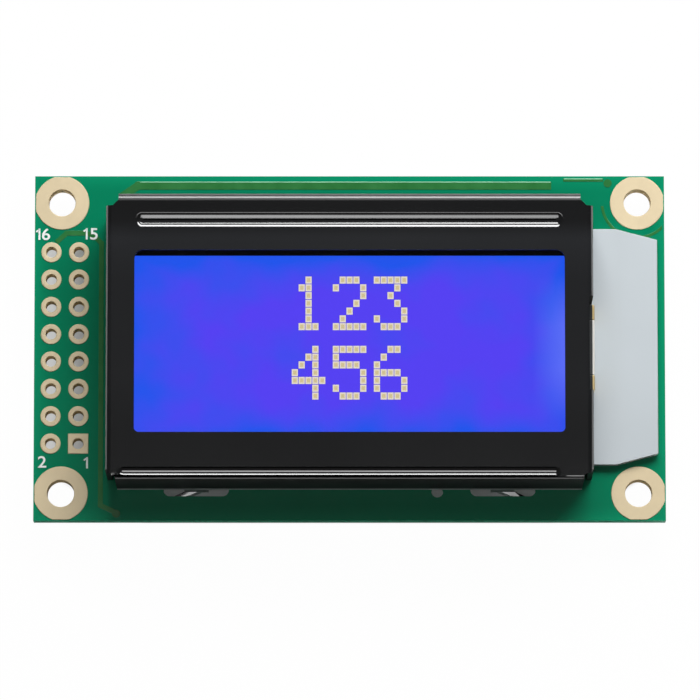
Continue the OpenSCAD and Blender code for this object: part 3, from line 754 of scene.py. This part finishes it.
def plated_hole(name, inner, outer, height, square=False, trim=None):
    """A plated hole: a wall through the board with a raised pad on each of its faces."""
    wall = 0.03 * MM
    inner = inner - 0.012 * MM
    top = BOARD_HIGH.z + height
    low = RING_LOW.z
    body = upright("body", outer, low, top, square)
    if trim:
        cut_away(body, (trim, 0, 0), (1, 0, 0))
        cut_away(body, (0, trim, 0), (0, 1, 0))
    drill(body, inner, low, top)
    waste = upright("waste", outer * 2.0, BOARD_LOW.z, BOARD_HIGH.z)
    drill(waste, inner + wall, low, top)
    subtract(body, waste)
    only(body)
    bpy.ops.object.mode_set(mode="EDIT")
    bpy.ops.mesh.select_all(action="SELECT")
    bpy.ops.mesh.remove_doubles(threshold=0.001 * MM)
    select_edges(body, lambda e: all(abs(v.co.z - top) < 0.002 * MM for v in e.verts)
                 and e.calc_face_angle(0.0) > 0.9)
    bpy.ops.mesh.bevel(offset=height * 0.9, segments=3, affect="EDGES")
    bpy.ops.object.mode_set(mode="OBJECT")
    body.name = name
    return body


def upright(name, radius, low, top, square=False):
    clear_selection()
    corners = 4 if square else 72
    reach = radius * math.sqrt(2.0) if square else radius
    bpy.ops.mesh.primitive_cylinder_add(vertices=corners, radius=reach, depth=top - low,
                                        location=(0.0, 0.0, (low + top) / 2),
                                        rotation=(0.0, 0.0, math.pi / 4 if square else 0.0))
    made = bpy.context.object
    place_in_mesh(made)
    made.name = name
    return made


def drill(obj, radius, low, high):
    """Cuts a round hole along Z."""
    depth = high - low
    subtract(obj, upright("drill", radius, low - depth, high + depth))


def subtract(obj, tool):
    only(obj)
    bpy.ops.object.modifier_add(type="BOOLEAN")
    cut = obj.modifiers[-1]
    cut.operation = "DIFFERENCE"
    cut.solver = "EXACT"
    cut.object = tool
    bpy.ops.object.modifier_apply(modifier=cut.name)
    bpy.data.objects.remove(tool)


def moved_copy(obj, place, turn=0.0):
    one = copy_of(obj)
    one.location = place
    one.rotation_euler = (0.0, 0.0, turn)
    place_in_mesh(one)
    return one


def cut_away(obj, point, normal):
    """Trims what lies beyond a plane, and closes the cut."""
    only(obj)
    bpy.ops.object.mode_set(mode="EDIT")
    bpy.ops.mesh.select_all(action="SELECT")
    bpy.ops.mesh.bisect(plane_co=point, plane_no=normal, use_fill=True, clear_outer=True)
    bpy.ops.object.mode_set(mode="OBJECT")


class DISPLAY_OT_bezel(bpy.types.Operator):
    """Pressed bezel with eased edges, a soft-lipped upper bead and a narrow lower bead"""

    bl_idname = "display.bezel"
    bl_label = "Bezel"

    def execute(self, context):
        size = sizes()
        shell = clean_copy("bezel")
        lower, upper = bead_rows(shell, size.bead_depth)
        soften_bead(shell, upper, size.bead_width / 2, size.bead_depth)
        shift_bead(shell, lower, size.bead_width / 2)
        ease(shell, size.edge_round, 28.0, 3)
        dress(shell, bezel_material())
        shell.data.materials.append(bezel_side_material())
        # Painted highlight: a pale material on the rounded upper edge of the window, standing in for light caught
        # there.
        shell.data.materials.append(speckled("painted_rim_highlight", (0.92, 0.90, 0.52, 1.0), 0.12, 1200.0, 0.4))
        for face in shell.data.polygons:
            if face.normal.y < -0.2 and 0.05 < face.normal.z < 0.97 and on_rim(face.center):
                face.material_index = 2
            elif abs(face.normal.z) < 0.35:
                face.material_index = 1
        finish_piece(shell, "bezel_shell", ["bezel"])
        return {"FINISHED"}


def on_rim(place):
    """Whether a place lies on the window's upper edge, between the beads."""
    return (abs(place.x) < BEZEL_HIGH.x - 2.2 * MM and 0.0 < place.y < BEZEL_WALL - 3.9 * MM
            and place.z > BEZEL_HIGH.z - 0.49 * MM)


def bead_rows(shell, depth):
    """The places along Y of the lowest lines of the two pressed beads."""
    low = BEZEL_HIGH.z - depth
    rows = [v.co.y for v in shell.data.vertices
            if abs(v.co.z - low) < 0.004 * MM and abs(v.co.y) < BEZEL_HIGH.y - 0.45 * MM
            and abs(v.co.x) < BEZEL_HIGH.x - 1.5 * MM]
    return min(rows), max(rows)


def in_bead(place, row, half):
    top = BEZEL_HIGH.z
    return (abs(place.y - row) < half + 0.01 * MM and top - 0.32 * MM < place.z < top + 0.01 * MM
            and abs(place.x) < BEZEL_HIGH.x - 0.2 * MM)


def soften_bead(shell, row, half, depth):
    """Replaces a sharp-lipped bead by one that rolls in gently from below and steeply from above."""
    top = BEZEL_HIGH.z
    only(shell)
    bpy.ops.object.mode_set(mode="EDIT")
    select_faces(shell, lambda f: all(in_bead(v.co, row, half) for v in f.verts)
                 and min(v.co.z for v in f.verts) < top - 0.005 * MM)
    bpy.ops.mesh.delete(type="FACE")
    select_edges(shell, lambda e: e.is_boundary and all(in_bead(v.co, row, half) for v in e.verts))
    bpy.ops.mesh.edge_face_add()
    bpy.ops.transform.resize(value=(1.0, 1.29, 1.0), center_override=(0.0, row, top))
    bpy.ops.transform.translate(value=(0.0, -0.29 * half, 0.0))
    lip = [(0.10, 0.017), (0.10, 0.043), (0.10, 0.071), (0.10, 0.10), (0.10, 0.13)]
    wall = [(0.13, 0.33)]
    floor = [(0.155, 0.083), (0.155, 0.060), (0.155, 0.035), (0.12, 0.010)]
    for run, drop in lip + wall + floor:
        bpy.ops.mesh.inset(thickness=run * half, depth=-drop * depth)
        if (run, drop) in lip:
            bpy.ops.transform.translate(value=(0.0, 0.05 * half, 0.0))
    bpy.ops.mesh.select_all(action="SELECT")
    bpy.ops.mesh.normals_make_consistent(inside=False)
    bpy.ops.object.mode_set(mode="OBJECT")


def shift_bead(shell, row, half):
    """Draws the lower bead narrower and close to the bend below it."""
    only(shell)
    bpy.ops.object.mode_set(mode="EDIT")
    bpy.ops.mesh.select_mode(type="VERT")
    bpy.ops.mesh.select_all(action="DESELECT")
    mesh = bmesh.from_edit_mesh(shell.data)
    for corner in mesh.verts:
        corner.select = in_bead(corner.co, row, half)
    mesh.select_flush_mode()
    bmesh.update_edit_mesh(shell.data)
    bpy.ops.transform.resize(value=(1.0, 0.8, 1.0), center_override=(0.0, row, BEZEL_HIGH.z))
    bpy.ops.transform.translate(value=(0.0, -0.36 * MM, 0.0))
    bpy.ops.object.mode_set(mode="OBJECT")


class DISPLAY_OT_glass(bpy.types.Operator):
    """Glass, films, seal, lit field and lit dots behind the window"""

    bl_idname = "display.glass"
    bl_label = "Display glass"

    def execute(self, context):
        dress("front_polarizer", film_material("front_film", (0.02, 0.02, 0.06, 1.0), 0.04, 0.06, "front_polarizer"))
        for glass in ("front_glass", "rear_glass"):
            dress(glass, film_material(f"clear_{glass}", (0.05, 0.09, 0.10, 1.0), 0.02, 0.03, glass))
        dress("rear_polarizer", film_material("rear_film", (0.03, 0.04, 0.30, 1.0), 0.6, 0.12, "rear_polarizer"))
        dress("cell_seal", speckled("printed_border", (0.003, 0.003, 0.006, 1.0), 0.2, 900.0, 0.5, gloss=0.05))
        dress("crystal_layer", field_material())
        rubber = speckled("layered_rubber", (0.035, 0.035, 0.04, 1.0), 0.25, 1400.0, 0.7, bump=0.3)
        dress("contact_strip_upper", rubber)
        dress("contact_strip_lower", rubber)
        lit_dots()
        return {"FINISHED"}


def lit_dots():
    """One dot is modelled and copied to the place of each solid dot, with its own face map."""
    low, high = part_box("lit_dots")
    places = set()
    dot_size = None
    solid = NODES["lit_dots"].data
    for face in solid.polygons:
        if face.normal.z < 0.9:
            continue
        corners = [solid.vertices[v].co for v in face.vertices]
        x = [c.x for c in corners]
        y = [c.y for c in corners]
        places.add((round((min(x) + max(x)) / 2, 7), round((min(y) + max(y)) / 2, 7)))
        dot_size = (max(x) - min(x), max(y) - min(y))
    top = high.z - 0.006 * MM
    bottom = low.z + 0.006 * MM
    clear_selection()
    bpy.ops.mesh.primitive_plane_add(size=1.0, location=(0.0, 0.0, top))
    dot = bpy.context.object
    dot.scale = (dot_size[0], dot_size[1], 1.0)
    place_in_mesh(dot)
    bpy.ops.object.mode_set(mode="EDIT")
    bpy.ops.mesh.select_all(action="SELECT")
    bpy.ops.mesh.extrude_region_move(TRANSFORM_OT_translate={"value": (0.0, 0.0, bottom - top)})
    bpy.ops.mesh.select_all(action="SELECT")
    bpy.ops.mesh.normals_make_consistent(inside=False)
    bpy.ops.object.mode_set(mode="OBJECT")
    made = [moved_copy(dot, (x, y, 0.0)) for x, y in sorted(places)]
    bpy.data.objects.remove(dot)
    dots = join_all(made)
    dress(dots, dot_material())
    finish_piece(dots, "lit_dot_matrix", ["lit_dots"])


class DISPLAY_OT_backlight(bpy.types.Operator):
    """Backlight's board with its ear, the lamp, and the white parts inside"""

    bl_idname = "display.backlight"
    bl_label = "Backlight"

    def execute(self, context):
        board = eased_copy("backlight_board", "light_board", 0.08 * MM, 40.0, 2)
        dress(board, light_board_material())
        lamp = eased_copy("backlight_lamp", "lamp_body", 0.12 * MM, 40.0, 2)
        dress(lamp, lamp_material("lamp_moulding", (0.86, 0.85, 0.80, 1.0), 0.0))
        ends = eased_copy("lamp_terminals", "lamp_ends", 0.1 * MM, 40.0, 2)
        dress(ends, lamp_material("lamp_metal", (0.66, 0.50, 0.24, 1.0), 0.6))
        white = speckled("white_moulding", (0.80, 0.81, 0.80, 1.0), 0.03, 500.0, 0.5, bump=0.1)
        dress("light_guide_tray", white)
        dress("diffuser_film", speckled("diffuser", (0.85, 0.86, 0.87, 1.0), 0.02, 700.0, 0.7))
        dress("light_guide", speckled("frosted_acrylic", (0.70, 0.76, 0.82, 1.0), 0.04, 300.0, 0.3))
        dress("strip_contact_pads", speckled("thin_gold", (0.66, 0.48, 0.20, 1.0), 0.1, 900.0, 0.3, metallic=0.9))
        return {"FINISHED"}


class DISPLAY_OT_rear(bpy.types.Operator):
    """Resin cap, chip parts, solder and pads on the board's rear"""

    bl_idname = "display.rear"
    bl_label = "Rear parts"

    def execute(self, context):
        resin = speckled("black_resin", (0.006, 0.006, 0.006, 1.0), 0.3, 260.0, 0.22, bump=0.25, detail=2.0)
        dress("controller_cap", resin)
        glaze = speckled("resistor_glaze", (0.012, 0.012, 0.014, 1.0), 0.3, 1200.0, 0.4)
        body = eased_copy("chip_resistors", "resistor_bodies", 0.05 * MM, 40.0, 2)
        dress(body, glaze)
        ceramic = speckled("tan_ceramic", (0.34, 0.22, 0.11, 1.0), 0.12, 1400.0, 0.5, bump=0.2)
        body = eased_copy("chip_capacitors", "capacitor_bodies", 0.08 * MM, 40.0, 2)
        dress(body, ceramic)
        tin = speckled("tinned_metal", (0.62, 0.63, 0.64, 1.0), 0.08, 1600.0, 0.28, metallic=0.95, bump=0.2)
        ends = eased_copy("chip_end_caps", "end_caps", 0.05 * MM, 40.0, 2)
        dress(ends, tin)
        dress("solder_fillets", tin)
        dress("chip_pads", tin)
        dress("jumper_pads", tin)
        return {"FINISHED"}


class DISPLAY_OT_numbers(bpy.types.Operator):
    """Plain pin numbers printed beside the four corner pins of the header"""

    bl_idname = "display.numbers"
    bl_label = "Printed numbers"

    def execute(self, context):
        size = sizes()
        ink = speckled("white_ink", (0.86, 0.90, 0.87, 1.0), 0.05, 2600.0, 0.55, bump=0.3)
        radius = size.pin_pad_radius
        outer = PADS_LOW.x + radius
        inner = outer + size.pin_pitch
        above = PADS_HIGH.y + size.number_gap + size.number_height / 2
        below = PADS_LOW.y - size.number_gap - size.number_height / 2
        for name, y, digits in (
            ("16", above, (("1", outer - 1.12 * MM), ("6", outer - 0.51 * MM))),
            ("15", above + 0.04 * MM, (("1", inner + 0.70 * MM), ("5", inner + 1.36 * MM))),
            ("2", below, (("2", outer - 0.75 * MM),)),
            ("1", below - 0.08 * MM, (("1", inner + 0.83 * MM),)),
        ):
            made = []
            for digit, x in digits:
                if digit == "1":
                    made.append(printed_one(x, y, size.number_height))
                else:
                    made.append(printed_digit(digit, x, y, size.number_height))
            number = join_all(made)
            dress(number, ink)
            finish_piece(number, f"pin_number_{name}")
        return {"FINISHED"}


def printed_digit(digit, x, y, height):
    """A printed digit, centred on a place and made a thin mesh on the lacquer."""
    clear_selection()
    bpy.ops.object.text_add(location=(0.0, 0.0, 0.0))
    words = bpy.context.object
    words.data.body = digit
    words.data.size = height * 1.42
    words.data.offset = 0.02 * MM
    words.data.extrude = INK
    bpy.ops.object.convert(target="MESH")
    words = bpy.context.object
    corners = [v.co for v in words.data.vertices]
    middle = [(min(c[i] for c in corners) + max(c[i] for c in corners)) / 2 for i in range(2)]
    words.location = (x - DIGIT_STRETCH * middle[0], y - middle[1], BOARD_HIGH.z + INK)
    words.scale = (DIGIT_STRETCH, 1.0, 1.0)
    place_in_mesh(words)
    return words


def printed_one(x, y, height):
    """A stem and a slanting flag, as a printed 1 has them."""
    stroke = 0.17 * MM
    stem = ink_bar((x, y), (stroke, height), 0.0)
    flag = ink_bar((x - 0.15 * MM, y + height / 2 - 0.19 * MM), (0.36 * MM, stroke * 0.85), math.radians(38.0))
    return join_all([stem, flag])


def ink_bar(place, size, turn):
    """A flat bar of ink on the lacquer."""
    clear_selection()
    bpy.ops.mesh.primitive_cube_add(size=1.0, location=(place[0], place[1], BOARD_HIGH.z + INK),
                                    rotation=(0.0, 0.0, turn))
    bar = bpy.context.object
    bar.scale = (size[0], size[1], 2 * INK)
    place_in_mesh(bar)
    return bar


# ---- stage ----


def soft_lamp(name, place, size, power):
    """A rectangular lamp that faces the part."""
    clear_selection()
    bpy.ops.object.light_add(type="AREA", location=place)
    lamp = bpy.context.object
    lamp.name = name
    lamp.data.shape = "RECTANGLE"
    lamp.data.size, lamp.data.size_y = size
    lamp.data.energy = power
    lamp.rotation_euler = (-Vector(place)).to_track_quat("-Z", "Y").to_euler()
    return lamp


def joined(tree, operation, a, b):
    """A math node on two sockets or numbers."""
    made = tree.nodes.new("ShaderNodeMath")
    made.operation = operation
    for socket, value in zip(made.inputs, (a, b)):
        if isinstance(value, (int, float)):
            socket.default_value = value
        else:
            tree.links.new(value, socket)
    return made.outputs["Value"]


def ranged(tree, source, start, end, low, high):
    """A map range node from a span of the source to a span of the result."""
    made = tree.nodes.new("ShaderNodeMapRange")
    for socket, value in zip(("From Min", "From Max", "To Min", "To Max"), (start, end, low, high)):
        made.inputs[socket].default_value = value
    tree.links.new(source, made.inputs["Value"])
    return made.outputs["Result"]


class DISPLAY_OT_stage(bpy.types.Operator):
    """White floor, plain soft light and the camera"""

    bl_idname = "display.stage"
    bl_label = "Stage"

    def execute(self, context):
        self.floor()
        self.world()
        self.lamps()
        self.camera()
        return {"FINISHED"}

    def floor(self):
        """White paper that keeps the shadow and shines to the camera where no shadow lies, with painted light under
        the header holes where the board shades it.
        """
        clear_selection()
        bpy.ops.mesh.primitive_plane_add(size=4.0, location=(0.0, 0.0, BEZEL_LOW.z))
        floor = bpy.context.object
        place_in_mesh(floor)
        floor.name = "studio_floor"
        paper = bpy.data.materials.new("white_paper")
        paper.use_nodes = True
        tree = paper.node_tree
        tree.nodes.clear()
        out = tree.nodes.new("ShaderNodeOutputMaterial")
        plain = tree.nodes.new("ShaderNodeBsdfDiffuse")
        plain.inputs["Color"].default_value = FLOOR_GREY
        glow = tree.nodes.new("ShaderNodeEmission")
        glow.inputs["Color"].default_value = (1.0, 1.0, 1.0, 1.0)
        mix = tree.nodes.new("ShaderNodeMixShader")
        split = tree.nodes.new("ShaderNodeSeparateXYZ")
        tree.links.new(tree.nodes.new("ShaderNodeTexCoord").outputs["Object"], split.inputs["Vector"])
        wide = joined(tree, "DIVIDE", joined(tree, "ABSOLUTE", split.outputs["X"], 0.0), BOARD_HIGH.x)
        deep = joined(tree, "DIVIDE", joined(tree, "ABSOLUTE", split.outputs["Y"], 0.0), BOARD_HIGH.y)
        beside = ranged(tree, joined(tree, "MAXIMUM", wide, deep), 0.965, 0.99, 0.0, FLOOR_GLOW)
        # Painted light: under the header holes the paper shines to the camera though the board shades it, standing
        # in for light that floods in from the sides.
        painted_light_under_header = ranged(tree, wide, 0.80, 0.95, 0.04, 0.50)
        round_out = joined(tree, "ADD", joined(tree, "POWER", wide, 2.0), joined(tree, "POWER", deep, 2.0))
        below_corner = ranged(tree, round_out, 1.15, 1.42, 0.0, FLOOR_GLOW)
        away = joined(tree, "MAXIMUM", joined(tree, "MAXIMUM", beside, painted_light_under_header), below_corner)
        path = tree.nodes.new("ShaderNodeLightPath")
        seen = joined(tree, "MAXIMUM", path.outputs["Is Camera Ray"], path.outputs["Is Transmission Ray"])
        tree.links.new(joined(tree, "MULTIPLY", seen, away), mix.inputs["Fac"])
        tree.links.new(plain.outputs["BSDF"], mix.inputs[1])
        tree.links.new(glow.outputs["Emission"], mix.inputs[2])
        tree.links.new(mix.outputs["Shader"], out.inputs["Surface"])
        dress(floor, paper)

    def world(self):
        """White to the camera, soft fill for the finishes and a dark ceiling for reflections."""
        world = bpy.data.worlds.new("studio")
        bpy.context.scene.world = world
        world.use_nodes = True
        tree = world.node_tree
        background = tree.nodes["Background"]
        background.inputs["Color"].default_value = (1.0, 1.0, 1.0, 1.0)
        path = tree.nodes.new("ShaderNodeLightPath")
        plain = ranged(tree, path.outputs["Is Glossy Ray"], 0.0, 1.0, WORLD_FILL, WORLD_MIRRORED)
        tree.links.new(joined(tree, "MAXIMUM", plain, path.outputs["Is Camera Ray"]),
                       background.inputs["Strength"])

    def lamps(self):
        """A window behind the part, a faint fill, and a box that only reflections show."""
        soft_lamp("window_light", *WINDOW_LAMP)
        soft_lamp("overhead_fill", *FILL_LAMP)
        box = soft_lamp("overhead_box", *OVERHEAD_BOX)
        box.visible_diffuse = False

    def camera(self):
        """A long lens that looks down on the display, tilted a little towards its lower side."""
        clear_selection()
        back = Vector((0.0, -math.sin(CAMERA_TILT), math.cos(CAMERA_TILT)))
        bpy.ops.object.camera_add(location=CAMERA_AIM + CAMERA_REACH * back)
        camera = bpy.context.object
        camera.name = "view_camera"
        camera.rotation_euler = (CAMERA_TILT, 0.0, 0.0)
        camera.data.lens = CAMERA_LENS
        camera.data.sensor_width = CAMERA_SENSOR
        camera.data.clip_start = 0.05
        camera.data.clip_end = 20.0
        bpy.context.scene.camera = camera
        bpy.context.scene.view_settings.view_transform = "Standard"


class DISPLAY_PT_parts(bpy.types.Panel):
    """Sizes, colours and pieces of the display module"""

    bl_idname = "DISPLAY_PT_parts"
    bl_label = "Display Module"
    bl_space_type = "VIEW_3D"
    bl_region_type = "UI"
    bl_category = "Display Module"

    def draw(self, context):
        layout = self.layout
        for group in (context.scene.module_sizes, context.scene.module_finishes):
            box = layout.box()
            for key in group.bl_rna.properties.keys():
                if key not in ("rna_type", "name"):
                    box.prop(group, key)
        for operator in OPERATORS:
            layout.operator(operator.bl_idname)


OPERATORS = (
    DISPLAY_OT_board, DISPLAY_OT_rings, DISPLAY_OT_header, DISPLAY_OT_bezel, DISPLAY_OT_glass,
    DISPLAY_OT_backlight, DISPLAY_OT_rear, DISPLAY_OT_numbers, DISPLAY_OT_stage,
)
CLASSES = (DisplaySettings, FinishSettings) + OPERATORS + (DISPLAY_PT_parts,)


def register():
    for each in CLASSES:
        bpy.utils.register_class(each)
    bpy.types.Scene.module_sizes = bpy.props.PointerProperty(type=DisplaySettings)
    bpy.types.Scene.module_finishes = bpy.props.PointerProperty(type=FinishSettings)


def unregister():
    del bpy.types.Scene.module_finishes
    del bpy.types.Scene.module_sizes
    for each in reversed(CLASSES):
        bpy.utils.unregister_class(each)


def main():
    register()
    bpy.ops.display.board()
    bpy.ops.display.rings()
    bpy.ops.display.header()
    bpy.ops.display.bezel()
    bpy.ops.display.glass()
    bpy.ops.display.backlight()
    bpy.ops.display.rear()
    bpy.ops.display.numbers()
    bpy.ops.display.stage()
    clear_selection()


if __name__ == "__main__":
    main()
